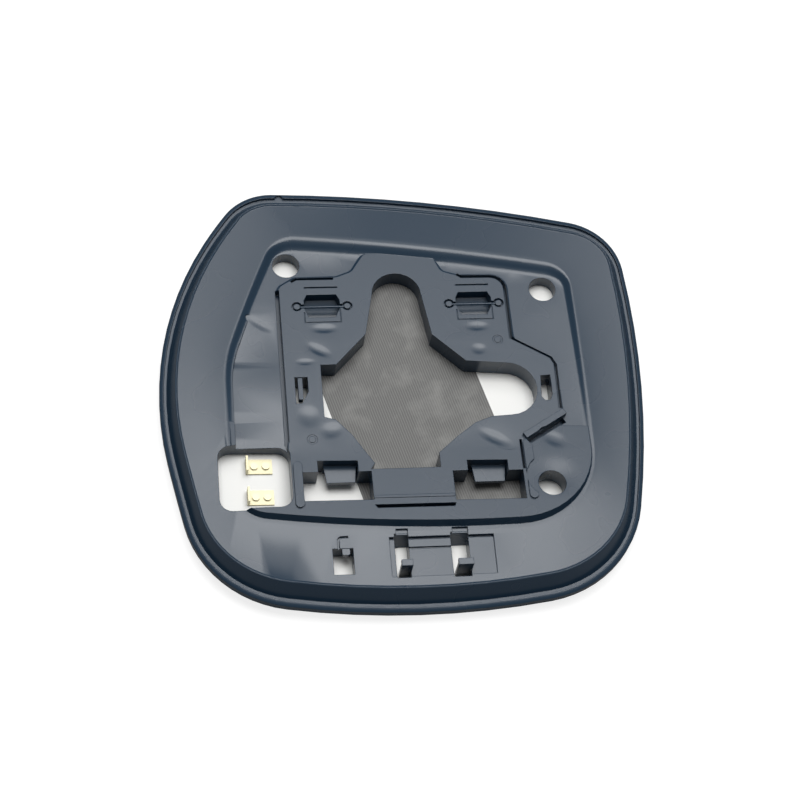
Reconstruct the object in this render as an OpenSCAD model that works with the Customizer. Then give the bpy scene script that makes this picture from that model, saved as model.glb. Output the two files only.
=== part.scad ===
// Heated mirror glass for a car's door mirror, lying on its convex face with the moulded
// backing plate up. X runs along the mirror, Y across it and Z out of its back.

/* [Outline] */
// Upper right corner of the outline before rounding, x and y
corner_tr = [95, 73.8]; // [60:0.1:120]
// Upper left corner of the outline before rounding, x and y
corner_tl = [-60.6, 94.9]; // [-90:0.1:120]
// Left corner of the outline before rounding, x and y
corner_l = [-101.8, 4.8]; // [-120:0.1:30]
// Lower left corner of the outline before rounding, x and y
corner_bl = [-84.1, -84.4]; // [-110:0.1:-60]
// Lower right corner of the outline before rounding, x and y
corner_br = [81.6, -85.6]; // [-110:0.1:110]
// Outward bow of the top side
bow_top = 6.2; // [1:0.1:12]
// Outward bow of the upper left side
bow_upper_left = 7.3; // [1:0.1:12]
// Outward bow of the lower left side
bow_lower_left = 1.1; // [0.5:0.1:6]
// Outward bow of the bottom side
bow_bottom = 9.9; // [1:0.1:14]
// Outward bow of the right side
bow_right = 9.4; // [1:0.1:14]
// Corner radii in the order upper right, upper left, left, lower left
corner_radii = [27, 25, 140, 46]; // [20:1:160]
// Radius of the lower right corner
corner_radius_br = 48; // [30:1:60]

/* [Glass] */
// Radius of the convex mirror face
glass_r = 1400; // [900:10:3000]
// Thickness of the glass
glass_t = 2; // [1.6:0.1:3]
// Gap between the glass edge and the rim that holds it
glass_gap = 0.4; // [0.2:0.05:1]
// Thickness of the white heater film on the back of the glass
film_t = 0.3; // [0.15:0.05:0.6]
// Distance of the film edge from the outline of the plate
film_inset = 7; // [5:0.1:14]
// Width of the woven heater pad
pad_w = 63.5; // [40:0.5:72]
// Length of the woven heater pad
pad_l = 122; // [110:1:140]
// Thickness of the woven heater pad
pad_t = 0.25; // [0.15:0.05:0.5]
// Turn of the heater pad from the Y axis, in degrees
pad_turn = 15; // [0:1:20]
// Centre of the heater pad, x and y
pad_centre = [1, -1]; // [-10:0.5:10]

/* [Rim] */
// Thickness of the rim wall round the glass
rim_t = 1.5; // [1.2:0.1:1.8]
// Height of the rim flange above the mirror face
flange_h = 4.2; // [3.6:0.1:6]
// Width of the rounded flange at the top and bottom
flange_w = 2.1; // [1.8:0.1:4]
// Fall of the flange from its inner to its outer edge
crown_drop = 0.9; // [0.2:0.1:1.4]
// Width of the groove behind the flange at the top and bottom
groove_w = 1.5; // [0.5:0.1:1.8]
// Depth of the groove behind the flange
groove_d = 1.3; // [0.4:0.1:1.4]
// Run of the sloping wall behind the groove
slope_w = 4.2; // [2.5:0.1:6]
// Height of the bead at the top of the slope above the mirror face
bead_h = 9.5; // [8:0.1:12]
// Width of the bead
bead_w = 1.2; // [0.8:0.1:2]
// Height of the bead above the border surface
bead_rise = 0.35; // [0.1:0.05:0.8]
// Share by which flange, groove and slope are narrower at the left and right sides
side_steep = 0.2; // [0:0.05:0.35]
// Centre of the round dimple in the flange, x and y
dimple_place = [-45.7, 92.7]; // [-50:0.1:100]
// Diameter of the dimple in the flange
dimple_d = 3.4; // [2:0.1:4]

/* [Skin] */
// Thickness of the moulded skin
skin_t = 2.2; // [1.6:0.1:3]
// Height of the border where it meets the middle field, at mid height
border_z = 12.8; // [12:0.1:15]
// Rise of the border per millimetre towards the top
border_tilt = 0.008; // [0:0.001:0.02]
// Height of the soft crest along the inner edge of the border
crest_h = 0.2; // [0.05:0.05:0.5]
// Height of the sunk middle field at the origin
field_z = 11.8; // [10.5:0.1:13]
// Fall of the middle field per millimetre towards the top
field_tilt = 0.014; // [0:0.001:0.03]
// Width of the soft step between the border and the field at the top
step_w = 6; // [2:0.1:8]
// Share by which the soft step is narrower at the left and right sides
step_steep = 0.5; // [0:0.05:0.6]
// Height of the deck that carries the mirror drive, at the origin
deck_z = 12.9; // [12:0.1:14.5]
// Fall of the deck per millimetre towards the top
deck_tilt = 0.02; // [0:0.001:0.04]
// Thickness of the deck below its surface at the origin
deck_t = 3.4; // [2.8:0.1:4.5]
// Run of the deck's sloping edge
deck_edge_w = 2.2; // [1:0.1:3]
// Height of the raised lower strip at its lower edge
strip_z = 15.6; // [14:0.1:17]
// Fall of the raised strip per millimetre towards the top
strip_tilt = 0.07; // [0.02:0.005:0.1]
// Inset of the strip's upper edge from the edge of the border
strip_in = 2.8; // [1.5:0.1:4]
// Thickness of the walls that reach down to the heater film
wall_t = 1.6; // [1.2:0.1:2.4]
// Depth of the grooves round the deck
moat_d = 4; // [1:0.1:4.5]
// Thickness of the floor below these grooves
moat_floor_t = 2; // [1.2:0.1:3]
// Height of the two rails beside the windows above the strip
rail_rise = 0.8; // [0.3:0.1:2]
// Width of the two rails beside the windows
rail_w = 3.6; // [2:0.1:5]
// Height of the slanting ridge at the lower right above the deck
ridge_rise = 1.6; // [0.5:0.1:2.5]
// Width of the slanting ridge
ridge_w = 2.6; // [1.5:0.1:4]

/* [Openings] */
// Centre of the round top of the main opening, x and y
arch_centre = [-0.4, 42.8]; // [-10:0.1:50]
// Radius of the round top of the main opening
arch_r = 10.2; // [6:0.1:12]
// Centre of the round right end of the main opening, x and y
lobe_centre = [41.2, -2.4]; // [-10:0.1:46]
// Radius of the round right end of the main opening
lobe_r = 12; // [8:0.1:12.5]
// Bore radius of the three round holes
hole_r = 5.6; // [4:0.1:6.5]
// Centre of the upper left hole, x and y
hole_tl = [-45, 58]; // [-60:0.5:70]
// Centre of the upper right hole, x and y
hole_tr = [61, 44.4]; // [30:0.1:70]
// Centre of the lower right hole, x and y
hole_br = [54.1, -45.5]; // [-60:0.1:60]
// Width and height of the opening over the terminals
terminal_opening = [28.4, 28]; // [24:0.1:32]
// Centre of the opening over the terminals, x and y
terminal_centre = [-62.9, -38.4]; // [-70:0.1:-30]
// Corner radius of the opening over the terminals
terminal_corner = 5; // [2:0.5:8]
// Width and height of each clip opening
clip_opening = [14.7, 10.8]; // [10:0.1:18]
// Centres of the two clip openings, left x, right x and common y
clip_places = [-31.4, 31.4, 38]; // [-40:0.1:45]
// Diameter of the bar across each clip opening
bar_d = 1; // [0.6:0.1:2]
// Diameter of the bar's knob at each end
knob_d = 2.6; // [1.5:0.1:4]
// Distance of the knob's middle from the side of the clip opening
knob_off = 3; // [2.2:0.1:4]
// Width of the dark ring round each knob
knob_gap = 0.8; // [0.4:0.1:1.2]
// Centre and size of the small border slot
border_slot_place = [-30.8, -75]; // [-90:0.1:80]
border_slot_size = [8, 10.8]; // [4:0.1:14]
// Left, lower, right and upper edge of the two hook slots
hook_slot_left = [-10.5, -82.5, -5, -64.3]; // [-90:0.1:60]
hook_slot_right = [11.6, -82.8, 18.6, -64.3]; // [-90:0.1:60]
// Height of the hook posts above the origin's mirror face
hook_z = 16.5; // [13:0.1:18]
// Left, lower, right and upper edge of the sunk panel between the hook slots
panel_edges = [-12.5, -82, 28.6, -66]; // [-90:0.1:60]
// Depth of the panel at its upper edge
panel_d = 0.85; // [0.3:0.05:1.2]

/* [Terminals] */
// Length of a terminal's foot
foot_l = 10.6; // [8:0.1:13]
// Width of a terminal
tab_w = 6.3; // [4.8:0.1:8]
// Thickness of the terminal metal
tab_t = 0.8; // [0.5:0.1:1.2]
// Height of the terminal's upright blade
tab_h = 4.5; // [4:0.1:7.5]
// Distance between the two terminals
tab_pitch = 13.6; // [9:0.1:16]
// Diameter of a rivet's head
rivet_d = 3; // [2:0.1:4]
// Height of a rivet's head above the metal
rivet_h = 0.7; // [0.3:0.1:1.2]
// Distance between the two rivets of a terminal
rivet_pitch = 4.6; // [4.1:0.1:6]

/* [Hidden] */
// Steps along a side and round a corner of an outline
SIDE_STEPS = 8;
CORNER_STEPS = 12;
// Largest angle of one step of a small rounded corner
ARC_STEP = 15;
// Clearance between pieces that lie on each other
SEAT = 0.03;
// How far a cut runs past the surface that it cuts
OVER = 1;
// Height above every surface, where the cuts end, and the width of a cutting block
HIGH = 30;
SPAN = 400;
// How far the top of a wall stays below the surface that it carries
COVER = 0.8;
plate_corners = [corner_tr, corner_tl, corner_l, corner_bl, corner_br];
plate_bows = [bow_top, bow_upper_left, bow_lower_left, bow_bottom, bow_right];
plate_radii = concat(corner_radii, [corner_radius_br]);
// Corners, bows and radii of the middle field inside the border
field_corners = [[72.6, 54.2], [-49.6, 70.8], [-72.6, 13.5], [-72.4, -55.5], [72.6, -61.2]];
field_bows = [2, 0.8, 0.4, 4.5, 0.8];
field_radii = [12, 13, 60, 16, 34];
// Height of the heater film's top and of the pad's top above the mirror face
film_h = glass_t + film_t;
pad_h = film_h + pad_t;
slope_in = flange_w + groove_w + slope_w;
border_in = slope_in + bead_w;

function unit(v) = v / norm(v);
function left_of(v) = [-v[1], v[0]];
function dish(x, y) = glass_r - sqrt(glass_r * glass_r - x * x - y * y);
function border_h(y) = border_z + border_tilt * y;

// A plane is given by its height at the origin and its fall for each millimetre along Y
field_plane = [field_z, field_tilt];
deck_plane = [deck_z, deck_tilt];
strip_edge_y = -59;
strip_plane = [strip_z + strip_tilt * strip_edge_y, strip_tilt];
function plane_h(plane, y) = plane[0] - plane[1] * y;

// Radius and centre of the arc that bows out by s between the points a and b
function bow_r(a, b, s) = (norm(b - a) * norm(b - a) / 4 + s * s) / (2 * s);
function bow_c(a, b, s) = (a + b) / 2 + left_of(unit(b - a)) * (bow_r(a, b, s) - s);

// Crossing of two circles that lies nearest to the point v
function crossing(c1, r1, c2, r2, v) =
    let(l = norm(c2 - c1), u = (c2 - c1) / l)
    let(a = (r1 * r1 - r2 * r2 + l * l) / (2 * l), h = sqrt(max(0, r1 * r1 - a * a)))
    let(p = c1 + u * a + left_of(u) * h, q = c1 + u * a - left_of(u) * h)
    norm(p - v) < norm(q - v) ? p : q;
function angle_of(v) = atan2(v[1], v[0]);
function turn(a, b) = (b - a + 720) % 360;

// Inset of an outline point whose outward direction has the angle a
function inset_at(d, a, steep) = d * (1 - steep * cos(a) * cos(a));

// Closed outline of bowed sides with rounded corners, moved inwards by d, with the same
// number of points at every inset so that the rings of a section match
function outline(v, s, r, d, steep = 0) =
    let(n = len(v))
    let(cs = [for (i = [0:n - 1]) bow_c(v[i], v[(i + 1) % n], s[i])])
    let(rs = [for (i = [0:n - 1]) bow_r(v[i], v[(i + 1) % n], s[i])])
    let(f = [for (i = [0:n - 1]) let(j = (i + n - 1) % n)
        crossing(cs[j], rs[j] - r[i], cs[i], rs[i] - r[i], v[i])])
    [for (i = [0:n - 1])
        let(j = (i + n - 1) % n, k = (i + 1) % n)
        let(a0 = angle_of(f[i] - cs[j]), a1 = angle_of(f[i] - cs[i]))
        let(a2 = angle_of(f[k] - cs[i]))
        each concat(
            [for (t = [0:CORNER_STEPS - 1]) let(a = a0 + turn(a0, a1) * t / CORNER_STEPS)
                f[i] + (r[i] - inset_at(d, a, steep)) * [cos(a), sin(a)]],
            [for (t = [0:SIDE_STEPS - 1]) let(a = a1 + turn(a1, a2) * t / SIDE_STEPS)
                cs[i] + (rs[i] - inset_at(d, a, steep)) * [cos(a), sin(a)]])];

function plate_outline(d, steep = 0) = outline(plate_corners, plate_bows, plate_radii, d, steep);
function field_outline(d) = outline(field_corners, field_bows, field_radii, d, step_steep);

// Plane of the lower border, between its bead and the field
function lowest(p) = min([for (q = p) q[1]]);
border_y = [lowest(plate_outline(border_in, side_steep)), lowest(field_outline(0))];
border_low_z = [dish(0, border_y[0]) + bead_h - bead_rise, border_h(border_y[1])];
border_fall = (border_low_z[0] - border_low_z[1]) / (border_y[1] - border_y[0]);
border_plane = [border_low_z[1] + border_fall * border_y[1], border_fall];

// Polygon with each corner rounded; radii may be one number or one for each corner
function corner_arc(a, v, b, r) =
    let(u = unit(a - v), w = unit(b - v), half = acos(u * w) / 2)
    let(c = v + unit(u + w) * r / sin(half), p = v + u * r / tan(half), q = v + w * r / tan(half))
    let(a0 = angle_of(p - c), full = 180 - 2 * half)
    let(way = cross(v - a, b - v) > 0 ? 1 : -1, steps = max(1, ceil(full / ARC_STEP)))
    [for (t = [0:steps]) c + r * [cos(a0 + way * full * t / steps), sin(a0 + way * full * t / steps)]];
function rounded(p, r) =
    let(n = len(p))
    [for (i = [0:n - 1]) let(ri = is_list(r) ? r[i] : r)
        each ri > 0 ? corner_arc(p[(i + n - 1) % n], p[i], p[(i + 1) % n], ri) : [p[i]]];

// Polygon of a counter-clockwise outline moved outwards by d
function mitre(a, b) = (a + b) / (1 + a * b);
function grown(p, d) =
    let(n = len(p))
    [for (i = [0:n - 1])
        let(e0 = unit(p[i] - p[(i + n - 1) % n]), e1 = unit(p[(i + 1) % n] - p[i]))
        p[i] - mitre(left_of(e0), left_of(e1)) * d];

// Band of width w along the open path p
function band(p, w) =
    let(n = len(p), e = [for (i = [0:n - 2]) left_of(unit(p[i + 1] - p[i]))])
    let(m = [for (i = [0:n - 1]) i == 0 ? e[0] : i == n - 1 ? e[n - 2] : mitre(e[i - 1], e[i])])
    concat([for (i = [0:n - 1]) p[i] - m[i] * w / 2], [for (i = [n - 1:-1:0]) p[i] + m[i] * w / 2]);
// Path with both ends moved outwards by e
function stretched(p, e) =
    let(n = len(p))
    [for (i = [0:n - 1]) i == 0 ? p[0] - unit(p[1] - p[0]) * e
        : i == n - 1 ? p[i] + unit(p[i] - p[i - 1]) * e : p[i]];
function box(c, s) = [c + [-s[0], -s[1]] / 2, c + [s[0], -s[1]] / 2, c + s / 2, c + [-s[0], s[1]] / 2];
// Rectangle with the left, lower, right and upper edge e
function edges_box(e) = [[e[0], e[1]], [e[2], e[1]], [e[2], e[3]], [e[0], e[3]]];

// Openings, counter-clockwise
clip_y = clip_places[2];
function arc(c, r, a0, a1) =
    let(n = ceil(abs(a1 - a0) / ARC_STEP))
    [for (t = [0:n]) let(a = a0 + (a1 - a0) * t / n) c + r * [cos(a), sin(a)]];
main_opening = concat(
    [[-17.4, -37], [10.4, -37], [10.4, -30.4], [18.4, -23.4], [26.4, -17.4], [33.4, -14.8]],
    arc(lobe_centre, lobe_r, -90, 90),
    [[25.4, 11], [12.6, 23.6]],
    arc(arch_centre, arch_r, 0, 180),
    [[-14.6, 24.4], [-27.6, 10.6], [-34, 10.6], [-34, -13.2], [-29.6, -14.4]],
    [[-23.6, -21.4], [-15.6, -34.4]]);
terminal_box = rounded(box(terminal_centre, terminal_opening), terminal_corner);
left_window = [[-44.5, -50.3], [-17.3, -50.6], [-17.3, -37.9], [-22.4, -37.9], [-22.4, -33],
    [-38.3, -32.6], [-38.3, -37.6], [-44.5, -37.6]];
right_window = [[14.9, -51.8], [43, -52.2], [43, -39.3], [37.2, -39.3], [37.2, -34.6],
    [21, -34.2], [21, -38.8], [14.9, -38.8]];
left_slot = [[-44.8, -6.8], [-42.4, -6.8], [-39.6, -1.6], [-39.6, 5.1], [-44.8, 5.1]];
right_slot = [[54.6, -6.4], [55.8, -8.2], [58, -8.2], [59.2, -5.4], [59.2, 3.5], [55.2, 3.2]];
border_slot = box(border_slot_place, border_slot_size);
hook_slots = [hook_slot_left, hook_slot_right];
holes = [hole_tl, hole_tr, hole_br];

// Edge of the deck, counter-clockwise from its lower left corner
deck_outline = [[-49, -52.4], [47, -53.2], [47, -25.4], [62, -14.6], [62, 10], [45.6, 20.8],
    [45.6, 51], [26, 51.4], [19, 53.6], [15.6, 62.2], [-12.4, 62.8], [-18, 54.2],
    [-24.6, 51.6], [-42, 51.4], [-49, 47]];
deck_radii = [1, 2, 0, 2, 4, 4, 6, 4, 4, 3, 3, 4, 4, 3, 4];
// Path and width of each groove round the deck
moats = [
    [[[-49.4, 46], [-49.4, -24]], 1.6],
    [[[-43.4, 49.8], [-41.4, 51.1], [-26, 51.1]], 1.1],
    [concat([[25.6, 52.3], [27.4, 51]], arc([39, 44.7], 6.2, 90, 0),
        [[45.1, 21.4], [60.6, 11.8], [62.1, 8.6], [61.7, -12]]), 1.5],
    [[[43.6, -25.6], [43.6, -38.8]], 0.9],
    [[[46.6, -26.8], [62.8, -17]], 2.2]
];
// Soft dents in the deck and in the strip: x, y, half length, half width, turn and depth
deck_dents = [[-31.3, 27.3, 7, 2.8, 0, 0.4], [-34.2, 17.4, 7, 3, -31, 0.45], [-40, 12, 5, 2, 0, 0.25],
    [31.6, 26.9, 6.5, 2.8, 0, 0.35], [31.2, 16.2, 4.2, 3.2, 0, 0.35], [-40.4, -12.8, 5.6, 6, 0, 0.5],
    [-31.6, -19.4, 5.4, 4.4, 20, 0.5], [33.4, -24.6, 9, 3.6, -30, 0.5]];
strip_dents = [[56, -42.6, 12, 10.6, 0, 0.7], [57.4, -25.8, 7, 4.4, -28, 0.4]];
channel_dent = [-57, 30.6, 7, 2.6, -35, 0.3];
// Plain rings that ejector pins leave
pin_marks = [[-39.5, -23], [39.5, 20.5]];

// Everything below a plane, raised by rise
module below(plane, rise = 0) {
    translate([0, 0, plane[0] + rise]) rotate([-atan(plane[1]), 0, 0])
        translate([-SPAN / 2, -SPAN / 2, -HIGH * 4]) cube([SPAN, SPAN, HIGH * 4]);
}
module prism(p, z0, z1) {
    translate([0, 0, z0]) linear_extrude(height = z1 - z0) polygon(p);
}
// Prism between a flat bottom and a plane
module planed_prism(p, z0, plane, rise = 0) {
    intersection() {
        prism(p, z0, HIGH);
        below(plane, rise);
    }
}
// Cut of depth d below a plane
module sunk(p, plane, d) {
    difference() {
        prism(p, 0, HIGH);
        below(plane, -d);
    }
}
// Block with the section p in Y and Z that runs from x0 to x1
module along_x(p, x0, x1) {
    translate([x0, 0, 0]) rotate([90, 0, 90]) linear_extrude(height = x1 - x0) polygon(p);
}
// Points of a ring at the height h above the mirror face
function on_dish(p, h) = [for (q = p) [q[0], q[1], dish(q[0], q[1]) + h]];

// Solid skinned over rings of equal length, from the middle of its underside outwards and
// back over its top
function middle(ring) = [for (k = [0:2]) [for (q = ring) q[k]] * [for (q = ring) 1] / len(ring)];
module skinned(rings) {
    n = len(rings[0]);
    m = len(rings);
    pts = concat([for (ring = rings) each ring], [middle(rings[0]), middle(rings[m - 1])]);
    sides = [for (r = [0:m - 2], i = [0:n - 1])
        let(a = r * n + i, b = r * n + (i + 1) % n)
        each [[a, a + n, b + n], [a, b + n, b]]];
    caps = [for (i = [0:n - 1])
        let(j = (i + 1) % n, top = (m - 1) * n)
        each [[i, j, m * n], [top + j, top + i, m * n + 1]]];
    polyhedron(points = pts, faces = concat(sides, caps), convexity = 6);
}

// Rim, border and sunk middle field of the plate in one skin
function soft(t) = t * t * (3 - 2 * t);
function step_ring(t, s, h) = [for (q = field_outline(step_w * t))
    let(crest = border_h(q[1]) + crest_h)
    [q[0], q[1], crest + (plane_h(field_plane, q[1]) - crest) * s + h]];
module plate_skin() {
    front_h = 0.2;
    seat_h = glass_t + SEAT;
    groove_h = flange_h - groove_d;
    groove_in = flange_w + groove_w;
    groove_draft = 0.1;
    foot_w = 1.6;
    crest_w = 2.2;
    skinned(concat(
        [step_ring(1, 1, -skin_t), step_ring(0, 0, -skin_t),
        on_dish(plate_outline(border_in + 1, side_steep), bead_h - bead_rise - skin_t),
        on_dish(plate_outline(groove_in + foot_w), seat_h),
        on_dish(plate_outline(rim_t), seat_h),
        on_dish(plate_outline(rim_t), front_h),
        on_dish(plate_outline(0), front_h)],
        [for (t = [0, 0.2, 0.5, 1])
            on_dish(plate_outline(flange_w * t, side_steep), flange_h - crown_drop * (1 - t) * (1 - t))],
        [on_dish(plate_outline(flange_w + groove_draft, side_steep), groove_h),
        on_dish(plate_outline(groove_in, side_steep), groove_h),
        on_dish(plate_outline(slope_in, side_steep), bead_h - bead_rise / 2),
        on_dish(plate_outline(slope_in + bead_w * 0.4, side_steep), bead_h),
        on_dish(plate_outline(border_in, side_steep), bead_h - bead_rise),
        [for (q = field_outline(-crest_w)) [q[0], q[1], border_h(q[1])]],
        [for (q = field_outline(-crest_w / 3)) [q[0], q[1], border_h(q[1]) + crest_h]]],
        [for (t = [0:0.25:1]) step_ring(t, soft(t), 0)]
    ));
}

// Raised strip along the lower edge of the field, which falls towards the top
module lower_strip() {
    top = -13;
    foot = field_outline(0.3);
    crown = field_outline(strip_in);
    used = [for (i = [0:len(foot) - 1]) if (foot[i][1] < top) i];
    skinned([
        [for (i = used) [foot[i][0], foot[i][1], border_z - skin_t]],
        [for (i = used) [crown[i][0], crown[i][1], plane_h(strip_plane, crown[i][1])]]
    ]);
}

// Deck with sloping edges that end inside the skin
module deck() {
    p = rounded(deck_outline, deck_radii);
    edge_z = field_z - skin_t + 0.4;
    skinned([
        [for (q = p) [q[0], q[1], deck_z - deck_t]],
        [for (q = grown(p, deck_edge_w)) [q[0], q[1], edge_z]],
        [for (q = p) [q[0], q[1], plane_h(deck_plane, q[1])]]
    ]);
}

// Sunk channel beside the deck, cut along X with the section of its floor
channel_z = 10.2;
channel_x = [-73.2, -49.4];
channel_top = [36, plane_h(field_plane, 36) + 0.01];
channel_section = [[36, channel_z + 5], channel_top, [13.6, channel_z - 0.4], [11, channel_z],
    [-9.4, channel_z], [-13, channel_z - 0.6], [-22, channel_z - 0.2], [-24, channel_z - 0.8],
    [-27, channel_z - 0.8], [-27, channel_z + 5]];
channel_plane = [channel_top[1] - (channel_top[1] - channel_z + 0.4) * 36 / 22.4,
    -(channel_top[1] - channel_z + 0.4) / 22.4];
module channel_cut() {
    intersection() {
        along_x(channel_section, channel_x[0], channel_x[1]);
        prism(field_outline(step_w + 0.4), 0, HIGH);
    }
}
module channel_tray() {
    intersection() {
        translate([channel_x[0], -26, channel_z - 2.4]) cube([channel_x[1] - channel_x[0] + 2, 62, 3]);
        prism(field_outline(1), 0, HIGH);
    }
}

// Wall round an opening that reaches from the surface over it to the heater film
module collar(p, plane) {
    planed_prism(grown(p, wall_t), 0, plane, -COVER);
}
// Flat lower end of a round hole's wall, just above the film all round
function hole_seat_z(c) = dish(norm(c) + hole_r + wall_t, 0) + pad_h + 2 * SEAT;
module collars() {
    collar(main_opening, deck_plane);
    collar(terminal_box, field_plane);
    collar(left_window, deck_plane);
    collar(right_window, deck_plane);
    collar(left_slot, deck_plane);
    collar(right_slot, deck_plane);
    collar(border_slot, border_plane);
    for (s = hook_slots) collar(edges_box(s), border_plane);
    for (c = clip_centres) collar(clip_pocket(c), deck_plane);
    for (c = holes) translate([c[0], c[1], hole_seat_z(c)])
        cylinder(r = hole_r + wall_t, $fn = 64,
            h = plane_h(field_plane, c[1] + hole_r + wall_t) - COVER / 2 - hole_seat_z(c));
}

// Grooves round the deck and the material below them
module moat_cuts() {
    for (m = moats) sunk(band(m[0], m[1]), deck_plane, moat_d);
}
module moat_floors() {
    for (m = moats) planed_prism(band(stretched(m[0], wall_t), m[1] + 2 * wall_t), deck_z - moat_d - moat_floor_t,
        field_plane, -COVER);
}

// Soft dent below a plane, as a bowl with a flat lid above it
module dent(d, plane) {
    n = 20;
    lid = 2;
    lift = 0.01;
    function ring(t, h) = [for (i = [0:n - 1])
        let(u = t * d[2] * cos(360 * i / n), v = t * d[3] * sin(360 * i / n))
        let(x = d[0] + u * cos(d[4]) - v * sin(d[4]), y = d[1] + u * sin(d[4]) + v * cos(d[4]))
        [x, y, plane_h(plane, y) + h]];
    skinned(concat(
        [for (t = [0.2:0.2:1]) ring(t, lift - d[5] * (1 + cos(180 * t)) / 2)],
        [ring(1, lid)]));
}
// Ring that an ejector pin leaves
module pin_mark(c) {
    translate([c[0], c[1], plane_h(deck_plane, c[1]) - 0.25]) difference() {
        cylinder(d = 4.2, h = OVER, $fn = 32);
        cylinder(d = 2.8, h = 2 * OVER, $fn = 32);
    }
}

// Clip openings: a blind pocket with a bar across it and a small recess round each knob
clip_centres = [[clip_places[0], clip_y], [clip_places[1], clip_y]];
function clip_pocket(c) =
    let(w = clip_opening[0] / 2, h = clip_opening[1] / 2)
    [for (q = [[-w + 1.6, -h], [w - 2.2, -h], [w, -h + 4.6], [w, h - 2.6],
        [w - 1.3, h], [-w + 1.3, h], [-w, h - 2.6], [-w, -h + 4.6]]) c + q];
pocket_floor_z = 4.6;
pocket_ramp = 3.2;
bar_sink = 0.9;
function knob_x(s) = s * (clip_opening[0] / 2 + knob_off);
module clip_cut(c) {
    w = clip_opening[0] / 2;
    h = clip_opening[1] / 2;
    ramp_y = c[1] - h + 4;
    end_y = c[1] + h + OVER;
    difference() {
        prism(clip_pocket(c), pocket_floor_z, HIGH);
        along_x([[ramp_y, pocket_floor_z - OVER], [end_y, pocket_floor_z - OVER],
            [end_y, pocket_floor_z + pocket_ramp], [ramp_y, pocket_floor_z]], c[0] - w - OVER, c[0] + w + OVER);
    }
    for (s = [-1, 1]) {
        translate([c[0] + knob_x(s), c[1], plane_h(deck_plane, c[1]) - 2 * bar_sink])
            cylinder(d = knob_d + 2 * knob_gap, h = HIGH, $fn = 32);
        sunk(box([c[0] + knob_x(s) / 2, c[1]], [abs(knob_x(s)), bar_d + knob_gap]), deck_plane, 2 * bar_sink);
    }
    sunk(box(c + [0, h + 3.5], [2 * w - 1, 0.6]), deck_plane, 1.2);
    sunk(band([[c[0] - w, c[1] - h + 2.6], [c[0] - w, c[1] - h - 2.2],
        [c[0] + w, c[1] - h - 2.2], [c[0] + w, c[1] - h + 4]], 0.4), deck_plane, 0.35);
}
module clip_bar(c) {
    z = plane_h(deck_plane, c[1]) - bar_sink;
    translate([c[0] + knob_x(-1), c[1], z]) rotate([0, 90, 0])
        cylinder(d = bar_d, h = knob_x(1) - knob_x(-1), $fn = 24);
    for (s = [-1, 1]) translate([c[0] + knob_x(s), c[1], z - 2 * bar_sink])
        cylinder(d = knob_d, h = 3 * bar_sink - 0.1, $fn = 32);
}

// Sunk snap tab that projects from the upper wall of a window
module snap_tab(x0, x1, y, z) {
    tip = 1;
    snap_t = 2;
    reach = 7.2;
    prism([[x0 + tip, y - reach], [x1 - tip, y - reach], [x1, y + OVER], [x0, y + OVER]], z - snap_t, z);
    prism(box([(x0 + x1) / 2, y + wall_t / 4], [x1 - x0, wall_t]), 0, z);
}

// Central flap between the two windows, with its lip and the dark gap below it
flap = [[-17.3, -36], [-17.3, -52.6], [14.6, -53], [14.9, -36]];
module flap_lip() {
    planed_prism([[-17.3, -48.8], [-17.3, -50], [14.6, -50.2], [14.8, -49]],
        deck_z - deck_t, strip_plane, 0.3);
}
flap_gap = [[-16.2, -54.3], [14.2, -54.5], [14.8, -53], [-17.2, -52.8]];

// Rails beside the windows and the slanting ridge along the lower right edge of the deck
module rails() {
    for (e = [[-46.2, -53.2, -33], [46.1, -52.4, -25.6]])
        planed_prism(rounded(edges_box([e[0] - rail_w / 2, e[1], e[0] + rail_w / 2, e[2]]), rail_w / 2 - 0.1),
            deck_z - deck_t, strip_plane, rail_rise);
    planed_prism(band([[62.8, -14], [45.4, -24.6]], ridge_w), deck_z - deck_t, deck_plane, ridge_rise);
}

// Hook slots: each has a drafted upper wall and a post at its lower right
module hook_parts(e) {
    post_gap = 1.5;
    post_y = [e[1] + 3.1, e[1] + 5.7];
    head_h = 1.8;
    stem_t = 1.6;
    draft_w = 2.9;
    into_wall = 0.4;
    x = [e[0] + post_gap, e[2] + into_wall];
    prism([[x[0], post_y[0]], [x[1], post_y[0]], [x[1], post_y[0] + stem_t], [x[0], post_y[0] + stem_t]],
        0, hook_z - 0.1);
    prism([[x[0], post_y[0]], [x[1], post_y[0]], [x[1], post_y[1]], [x[0], post_y[1]]],
        hook_z - head_h, hook_z);
    along_x([[e[3] - draft_w, 0], [e[3] + into_wall, 0], [e[3] + into_wall, plane_h(border_plane, e[3]) - COVER],
        [e[3] - 0.2, plane_h(border_plane, e[3]) - COVER], [e[3] - draft_w, film_h]],
        e[0] - into_wall, e[2] + into_wall);
}
module hook_cut(e) {
    prism(edges_box(e), -OVER, HIGH);
    sunk(box([(e[0] + e[2]) / 2 + 0.4, e[3] + 0.9], [e[2] - e[0] - 0.8, 2.2]), border_plane, 0.9);
}
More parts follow.
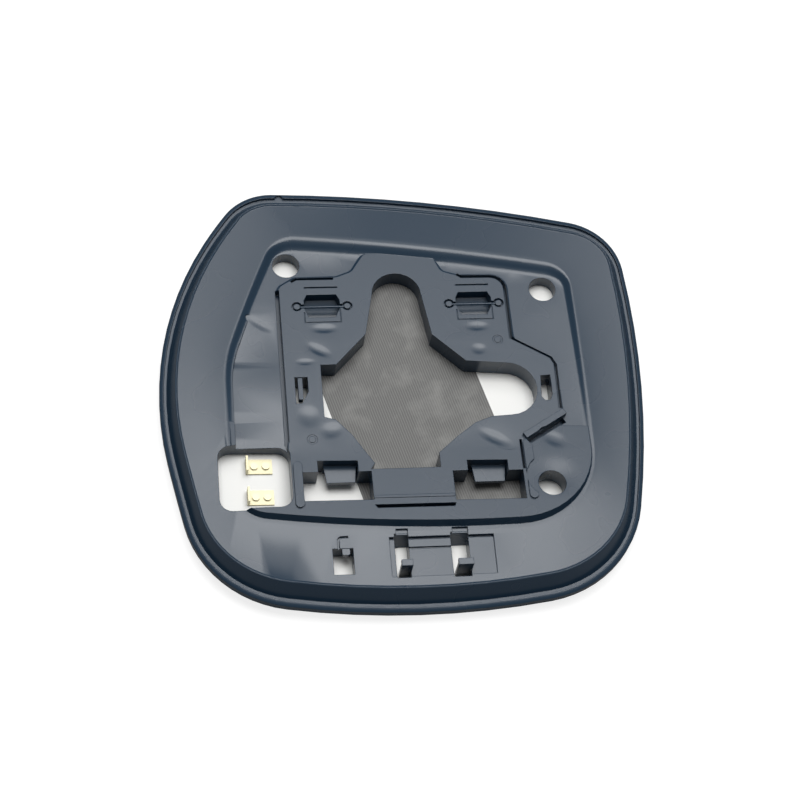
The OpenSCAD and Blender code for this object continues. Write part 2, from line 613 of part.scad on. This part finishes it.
// Fine grooves of the panel between the hook slots, and the groove round the small slot's finger
line_w = 0.8;
line_d = 0.7;
finger_box = [-31.1, -72.3, -28, -65.6];
module border_cuts() {
    e = panel_edges;
    bar_y = e[3] - 4;
    panel_z = plane_h(border_plane, e[3]) - panel_d;
    prism(edges_box(e), panel_z, HIGH);
    sunk(band([[e[0], e[3]], [e[2], e[3]]], line_w), border_plane, panel_d + line_d);
    sunk(band([[hook_slot_left[2], bar_y], [hook_slot_right[0], bar_y]], line_w), border_plane, panel_d + line_d);
    f = finger_box;
    sunk(band(concat([[f[0] - 1.2, f[1] + 2]], arc([f[0] + 0.2, f[3] - 0.7], 1.4, 180, 90),
        [[f[2] - 0.4, f[3] + 0.7]]), line_w), border_plane, line_d + 0.3);
}
module finger() {
    planed_prism(rounded(edges_box(finger_box), 0.8), border_z - skin_t - 1, border_plane, -0.15);
}
// Tongue that hangs into the left slot of the deck
module slot_tongue() {
    planed_prism(rounded(edges_box([-43.6, -4.8, -41.7, 6]), 0.6), deck_z - deck_t, deck_plane, -0.5);
}

module film_clearance() {
    translate([0, 0, glass_r]) sphere(r = glass_r - pad_h - SEAT, $fn = 256);
}

module backing_plate() {
    color([0.36, 0.39, 0.43])
    difference() {
        union() {
            plate_skin();
            lower_strip();
            deck();
            rails();
            moat_floors();
            intersection() {
                union() {
                    collars();
                    channel_tray();
                    prism(flap, 0, border_z - skin_t);
                }
                film_clearance();
            }
        }
        channel_cut();
        moat_cuts();
        prism(main_opening, -OVER, HIGH);
        prism(terminal_box, -OVER, HIGH);
        prism(left_window, -OVER, HIGH);
        prism(right_window, -OVER, HIGH);
        prism(left_slot, -OVER, HIGH);
        prism(right_slot, -OVER, HIGH);
        prism(border_slot, -OVER, HIGH);
        for (s = hook_slots) hook_cut(s);
        for (c = clip_centres) clip_cut(c);
        for (c = holes) translate([c[0], c[1], -OVER]) cylinder(r = hole_r, h = HIGH, $fn = 64);
        prism(flap_gap, deck_z - deck_t, HIGH);
        border_cuts();
        for (d = deck_dents) dent(d, deck_plane);
        for (d = strip_dents) dent(d, strip_plane);
        dent(channel_dent, channel_plane);
        for (c = pin_marks) pin_mark(c);
        translate([dimple_place[0], dimple_place[1], dish(dimple_place[0], dimple_place[1]) + flange_h - groove_d])
            cylinder(d = dimple_d, h = HIGH, $fn = 32);
    }
    color([0.36, 0.39, 0.43]) {
        for (c = clip_centres) clip_bar(c);
        flap_lip();
        finger();
        slot_tongue();
        intersection() {
            union() {
                snap_tab(-35.7, -22.4, -33, 9);
                snap_tab(23.3, 37.2, -34.5, 9.2);
                for (s = hook_slots) hook_parts(s);
            }
            film_clearance();
        }
    }
}

// Puts its children on the mirror's curve at x, y and the height h, square to the glass
module seated(x, y, h) {
    az = atan2(y, x);
    lean = asin(norm([x, y]) / glass_r);
    translate([0, 0, glass_r]) rotate([0, 0, az]) rotate([0, -lean, 0])
        translate([0, 0, h - glass_r]) rotate([0, 0, -az]) children();
}
// Layer between two heights above the mirror face
module layer(p, h0, h1) {
    intersection() {
        prism(p, -OVER, HIGH);
        difference() {
            translate([0, 0, glass_r]) sphere(r = glass_r - h0, $fn = 256);
            translate([0, 0, glass_r]) sphere(r = glass_r - h1, $fn = 256);
        }
    }
}
module mirror_glass() {
    color([0.8, 0.85, 0.88]) layer(plate_outline(rim_t + glass_gap), 0, glass_t);
}
module heater_film() {
    color([0.95, 0.95, 0.94]) layer(plate_outline(film_inset), glass_t, film_h);
}
module heater_pad() {
    color([0.5, 0.5, 0.47])
    layer([for (q = box([0, 0], [pad_w, pad_l]))
        pad_centre + [q[0] * cos(pad_turn) - q[1] * sin(pad_turn), q[0] * sin(pad_turn) + q[1] * cos(pad_turn)]],
        film_h, pad_h);
}

// Spade terminal: a foot riveted to the film and a blade folded up at its left end
shank_d = rivet_d * 0.6;
terminal_places = [[-60.8, -30.2], [-60.8, -30.2 - tab_pitch]];
module terminal(c) {
    seated(c[0], c[1], film_h + SEAT) difference() {
        union() {
            translate([-foot_l / 2, -tab_w / 2, 0]) cube([foot_l, tab_w, tab_t]);
            translate([-foot_l / 2, -tab_w / 2, 0]) cube([tab_t, tab_w, tab_h]);
        }
        for (s = [-1, 1]) translate([s * rivet_pitch / 2 + tab_t / 2, 0, -OVER])
            cylinder(d = shank_d + 2 * SEAT, h = tab_t + 2 * OVER, $fn = 32);
    }
}
module rivets(c) {
    seated(c[0], c[1], film_h + SEAT)
        for (s = [-1, 1]) translate([s * rivet_pitch / 2 + tab_t / 2, 0, 0]) {
            cylinder(d = shank_d, h = tab_t + SEAT + rivet_h / 2, $fn = 32);
            translate([0, 0, tab_t + SEAT]) cylinder(d = rivet_d, h = rivet_h, $fn = 32);
        }
}
module terminal_upper() {
    color([0.9, 0.87, 0.72]) terminal(terminal_places[0]);
}
module terminal_lower() {
    color([0.9, 0.87, 0.72]) terminal(terminal_places[1]);
}
module rivets_upper() {
    color([0.86, 0.83, 0.7]) rivets(terminal_places[0]);
}
module rivets_lower() {
    color([0.86, 0.83, 0.7]) rivets(terminal_places[1]);
}

backing_plate();
mirror_glass();
heater_film();
heater_pad();
terminal_upper();
terminal_lower();
rivets_upper();
rivets_lower();
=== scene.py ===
"""Heated door mirror glass with its moulded backing plate, dressed for a studio photograph."""

import math

import bmesh
import bpy
from mathutils import Matrix, Vector


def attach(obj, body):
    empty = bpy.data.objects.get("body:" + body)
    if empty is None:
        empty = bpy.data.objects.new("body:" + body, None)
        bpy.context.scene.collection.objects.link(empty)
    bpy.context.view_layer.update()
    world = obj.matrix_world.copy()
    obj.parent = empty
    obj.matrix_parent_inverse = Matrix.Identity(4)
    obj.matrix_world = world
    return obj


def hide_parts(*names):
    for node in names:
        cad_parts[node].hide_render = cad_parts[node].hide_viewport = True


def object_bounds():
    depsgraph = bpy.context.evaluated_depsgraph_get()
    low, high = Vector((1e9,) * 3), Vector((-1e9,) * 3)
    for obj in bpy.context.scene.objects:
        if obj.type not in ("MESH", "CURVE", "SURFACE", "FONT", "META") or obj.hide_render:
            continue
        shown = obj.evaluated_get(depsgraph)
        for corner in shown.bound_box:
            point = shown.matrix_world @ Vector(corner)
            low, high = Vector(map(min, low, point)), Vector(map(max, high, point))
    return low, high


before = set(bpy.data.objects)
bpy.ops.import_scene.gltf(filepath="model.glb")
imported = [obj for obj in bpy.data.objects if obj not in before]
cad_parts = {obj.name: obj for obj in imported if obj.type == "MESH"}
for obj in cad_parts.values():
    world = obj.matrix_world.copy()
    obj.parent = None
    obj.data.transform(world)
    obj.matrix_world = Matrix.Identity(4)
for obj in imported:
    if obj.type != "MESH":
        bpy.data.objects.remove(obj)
cad_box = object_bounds()
MM = 0.001

# Camera: its place in millimetres in the part's frame, the directions to its right and down, and its lens
CAMERA_PLACE = (-117.8, -388.6, 760.4)
CAMERA_RIGHT = (0.9905, -0.0852, 0.1083)
CAMERA_DOWN = (-0.0263, -0.8884, -0.4583)
LENS = 95.3
SENSOR = 36.0

# Softboxes: name, compass angle from +Y towards +X, elevation, distance in metres, size in metres, radiance
SOFTBOXES = (
    ("overhead softbox", 12, 78.5, 1.5, (1.2, 0.72), 6.5),
    ("rear softbox", 12, 54, 1.5, (1.4, 0.5), 2.1),
)
FILL_LIGHT = 0.18
FLOOR_HALF = 3.0
FLOOR_GLOW = 0.8

# Points closer than this are one point, and faces that meet at less than this angle are one curved surface
MERGE_GAP = 0.002 * MM
SHARP_ANGLE = math.radians(28)

# Sockets of a Mix node for colours, whose names its sockets for numbers have too
MIX_FACTOR, MIX_A, MIX_B, MIX_RESULT = 0, 6, 7, 2
# Distance between two bands of the wave pattern at scale 1
WAVE_PERIOD = 0.314


def srgb(code):
    """Linear colour of an sRGB hex value."""
    parts = [int(code[i:i + 2], 16) / 255 for i in (0, 2, 4)]
    return (*[p / 12.92 if p <= 0.04045 else ((p + 0.055) / 1.055) ** 2.4 for p in parts], 1.0)


def add_node(tree, kind, links=None, sockets=None, **settings):
    """Adds a node with its settings, its socket values and the links that feed it.

    A socket goes by its name, or by its number where others share the name.
    """
    node = tree.nodes.new(kind)
    for name, value in settings.items():
        setattr(node, name, value)
    for name, value in (sockets or {}).items():
        node.inputs[name].default_value = value
    for name, source in (links or {}).items():
        tree.links.new(source, node.inputs[name])
    return node


def new_material(name):
    """An empty node material and its output node."""
    material = bpy.data.materials.new(name)
    material.use_nodes = True
    material.node_tree.nodes.clear()
    output = add_node(material.node_tree, "ShaderNodeOutputMaterial")
    return material, material.node_tree, output


def object_space(tree, turn=0.0):
    """Object coordinates in millimetres, turned about Z for a pattern."""
    place = add_node(tree, "ShaderNodeTexCoord").outputs["Object"]
    return add_node(tree, "ShaderNodeMapping", {"Vector": place},
                    {"Scale": (1 / MM, 1 / MM, 1 / MM), "Rotation": (0, 0, turn)}).outputs["Vector"]


# Injection-moulded ABS, dark slate: a grain from the spark-eroded mould breaks up the softboxes' reflection, and
# its gloss drifts over 28 mm. The grain is drawn 0.55 mm across, coarser than the real one, so that it shows.
def moulded_abs():
    material, tree, output = new_material("moulded slate ABS")
    grain_size = 0.55
    grain_depth = 0.05
    cloud_size = 28.0
    edge_radius = 0.35
    place = object_space(tree)
    grain = add_node(tree, "ShaderNodeTexNoise", {"Vector": place},
                     {"Scale": 1 / grain_size, "Detail": 3.0, "Roughness": 0.6})
    cloud = add_node(tree, "ShaderNodeTexNoise", {"Vector": place},
                     {"Scale": 1 / cloud_size, "Detail": 2.0, "Roughness": 0.5})
    gloss = add_node(tree, "ShaderNodeMapRange", {"Value": cloud.outputs["Fac"]},
                     {"From Min": 0.3, "From Max": 0.7, "To Min": 0.24, "To Max": 0.29})
    edge = add_node(tree, "ShaderNodeBevel", None, {"Radius": edge_radius * MM}, samples=6)
    bump = add_node(tree, "ShaderNodeBump",
                    {"Height": grain.outputs["Fac"], "Normal": edge.outputs["Normal"]},
                    {"Strength": 0.12, "Distance": grain_depth * MM})
    shader = add_node(tree, "ShaderNodeBsdfPrincipled",
                      {"Roughness": gloss.outputs["Result"], "Normal": bump.outputs["Normal"]},
                      {"Base Color": srgb("213547"), "IOR": 1.52})
    tree.links.new(shader.outputs["BSDF"], output.inputs["Surface"])
    return material


# Silvered float glass: a bright mirror with the faint green of the glass
def silvered_glass():
    material, tree, output = new_material("silvered float glass")
    shader = add_node(tree, "ShaderNodeBsdfPrincipled", None,
                      {"Base Color": srgb("d9e4e2"), "Metallic": 1.0, "Roughness": 0.03})
    tree.links.new(shader.outputs["BSDF"], output.inputs["Surface"])
    return material


# White polyester film of the heater: matt, with shallow waves 18 mm across
def heater_polyester():
    material, tree, output = new_material("white polyester film")
    wave_size = 18.0
    wave_depth = 0.3
    place = object_space(tree)
    wave = add_node(tree, "ShaderNodeTexNoise", {"Vector": place}, {"Scale": 1 / wave_size, "Detail": 1.0})
    bump = add_node(tree, "ShaderNodeBump", {"Height": wave.outputs["Fac"]},
                    {"Strength": 0.2, "Distance": wave_depth * MM})
    shader = add_node(tree, "ShaderNodeBsdfPrincipled", {"Normal": bump.outputs["Normal"]},
                      {"Base Color": srgb("f6f6f3"), "Roughness": 0.5, "IOR": 1.45})
    tree.links.new(shader.outputs["BSDF"], output.inputs["Surface"])
    return material


# Glass-fibre cloth over the heater: slanting threads with paler clouds 9 mm across. The threads are drawn 1 mm
# apart, wider than the real ones, so that they show.
def fibre_cloth():
    material, tree, output = new_material("grey woven heater cloth")
    thread_pitch = 1.0
    thread_depth = 0.1
    thread_turn = math.radians(-15)
    cloud_size = 9.0
    place = object_space(tree, thread_turn)
    threads = add_node(tree, "ShaderNodeTexWave", {"Vector": place},
                       {"Scale": WAVE_PERIOD / thread_pitch, "Distortion": 0.6, "Detail": 1.0},
                       bands_direction="X")
    cloud = add_node(tree, "ShaderNodeTexNoise", {"Vector": place}, {"Scale": 1 / cloud_size, "Detail": 3.0})
    thread_tone = add_node(tree, "ShaderNodeMix", {MIX_FACTOR: threads.outputs["Fac"]},
                           {MIX_A: srgb("5c5c5b"), MIX_B: srgb("777775")}, data_type="RGBA")
    paleness = add_node(tree, "ShaderNodeMapRange", {"Value": cloud.outputs["Fac"]},
                        {"From Min": 0.5, "From Max": 0.75, "To Min": 0.0, "To Max": 0.5})
    tone = add_node(tree, "ShaderNodeMix",
                    {MIX_FACTOR: paleness.outputs["Result"], MIX_A: thread_tone.outputs[MIX_RESULT]},
                    {MIX_B: srgb("8f8f8c")}, data_type="RGBA")
    bump = add_node(tree, "ShaderNodeBump", {"Height": threads.outputs["Fac"]},
                    {"Strength": 0.4, "Distance": thread_depth * MM})
    shader = add_node(tree, "ShaderNodeBsdfPrincipled",
                      {"Base Color": tone.outputs[MIX_RESULT], "Normal": bump.outputs["Normal"]},
                      {"Roughness": 0.6})
    tree.links.new(shader.outputs["BSDF"], output.inputs["Surface"])
    return material


# Tinned brass: pale, slightly yellow metal, dulled by ripples a little under 1 mm across
def tinned_brass(name, code, roughness):
    material, tree, output = new_material(name)
    ripples_per_mm = 1.2
    ripple_depth = 0.1
    place = object_space(tree)
    ripples = add_node(tree, "ShaderNodeTexNoise", {"Vector": place}, {"Scale": ripples_per_mm, "Detail": 2.0})
    bump = add_node(tree, "ShaderNodeBump", {"Height": ripples.outputs["Fac"]},
                    {"Strength": 0.1, "Distance": ripple_depth * MM})
    shader = add_node(tree, "ShaderNodeBsdfPrincipled", {"Normal": bump.outputs["Normal"]},
                      {"Base Color": srgb(code), "Metallic": 1.0, "Roughness": roughness})
    tree.links.new(shader.outputs["BSDF"], output.inputs["Surface"])
    return material


# Matt studio floor, which the camera sees as white with the part's soft shadow on it
def floor_white():
    material, tree, output = new_material("white studio floor")
    lit = add_node(tree, "ShaderNodeBsdfDiffuse", None, {"Color": srgb("9a9a9a")})
    glow = add_node(tree, "ShaderNodeEmission", None, {"Color": (1, 1, 1, 1), "Strength": FLOOR_GLOW})
    seen = add_node(tree, "ShaderNodeAddShader", {0: lit.outputs["BSDF"], 1: glow.outputs["Emission"]})
    path = add_node(tree, "ShaderNodeLightPath")
    surface = add_node(tree, "ShaderNodeMixShader",
                       {0: path.outputs["Is Camera Ray"], 1: lit.outputs["BSDF"], 2: seen.outputs["Shader"]})
    tree.links.new(surface.outputs["Shader"], output.inputs["Surface"])
    return material


def dress(node, material):
    """Gives a CAD node a material of this script."""
    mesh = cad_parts[node].data
    mesh.materials.clear()
    mesh.materials.append(material)


def merged_copy(node, name):
    """A copy of a CAD node with its triangles joined and its curved faces shaded smoothly."""
    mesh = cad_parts[node].data.copy()
    mesh.name = name
    shell = bmesh.new()
    shell.from_mesh(mesh)
    bmesh.ops.remove_doubles(shell, verts=shell.verts, dist=MERGE_GAP)
    for face in shell.faces:
        face.smooth = True
    for edge in shell.edges:
        edge.smooth = len(edge.link_faces) == 2 and edge.calc_face_angle(0) < SHARP_ANGLE
    shell.to_mesh(mesh)
    shell.free()
    piece = bpy.data.objects.new(name, mesh)
    bpy.context.scene.collection.objects.link(piece)
    return piece


def moulded_plate():
    plate = merged_copy("backing_plate", "moulded_plate")
    plate.data.materials.clear()
    plate.data.materials.append(moulded_abs())
    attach(plate, "root")
    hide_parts("backing_plate")


def floor():
    mesh = bpy.data.meshes.new("floor")
    corners = [(x * FLOOR_HALF, y * FLOOR_HALF, 0) for x, y in ((-1, -1), (1, -1), (1, 1), (-1, 1))]
    mesh.from_pydata(corners, [], [(0, 1, 2, 3)])
    mesh.materials.append(floor_white())
    plane = bpy.data.objects.new("floor", mesh)
    plane.location.z = cad_box[0].z
    bpy.context.scene.collection.objects.link(plane)


def softbox(name, compass, elevation, distance, size, radiance):
    """A rectangular lamp that faces the part, with the radiance that its face shows."""
    lamp = bpy.data.lights.new(name, "AREA")
    lamp.shape = "RECTANGLE"
    lamp.size, lamp.size_y = size
    lamp.energy = radiance * math.pi * size[0] * size[1]
    towards = Vector((math.sin(math.radians(compass)) * math.cos(math.radians(elevation)),
                      math.cos(math.radians(compass)) * math.cos(math.radians(elevation)),
                      math.sin(math.radians(elevation))))
    holder = bpy.data.objects.new(name, lamp)
    holder.location = towards * distance
    holder.rotation_euler = towards.to_track_quat("Z", "Y").to_euler()
    bpy.context.scene.collection.objects.link(holder)


def lights():
    for row in SOFTBOXES:
        softbox(*row)
    world = bpy.data.worlds.new("studio")
    world.use_nodes = True
    background = world.node_tree.nodes["Background"]
    background.inputs["Color"].default_value = (1, 1, 1, 1)
    background.inputs["Strength"].default_value = FILL_LIGHT
    bpy.context.scene.world = world
    bpy.context.scene.view_settings.view_transform = "Standard"


def camera():
    right = Vector(CAMERA_RIGHT).normalized()
    back = right.cross(-Vector(CAMERA_DOWN)).normalized()
    up = back.cross(right)
    lens = bpy.data.cameras.new("camera")
    lens.lens = LENS
    lens.sensor_width = SENSOR
    lens.clip_start = 10 * MM
    view = bpy.data.objects.new("camera", lens)
    turn = Matrix((right, up, back)).transposed().to_4x4()
    view.matrix_world = Matrix.Translation(Vector(CAMERA_PLACE) * MM) @ turn
    bpy.context.scene.collection.objects.link(view)
    bpy.context.scene.camera = view


camera()
lights()
floor()
moulded_plate()
dress("mirror_glass", silvered_glass())
dress("heater_film", heater_polyester())
dress("heater_pad", fibre_cloth())
terminal_metal = tinned_brass("tinned brass sheet", "cbc5a8", 0.55)
rivet_metal = tinned_brass("tinned brass rivet", "bdb699", 0.45)
for end in ("upper", "lower"):
    dress(f"terminal_{end}", terminal_metal)
    dress(f"rivets_{end}", rivet_metal)
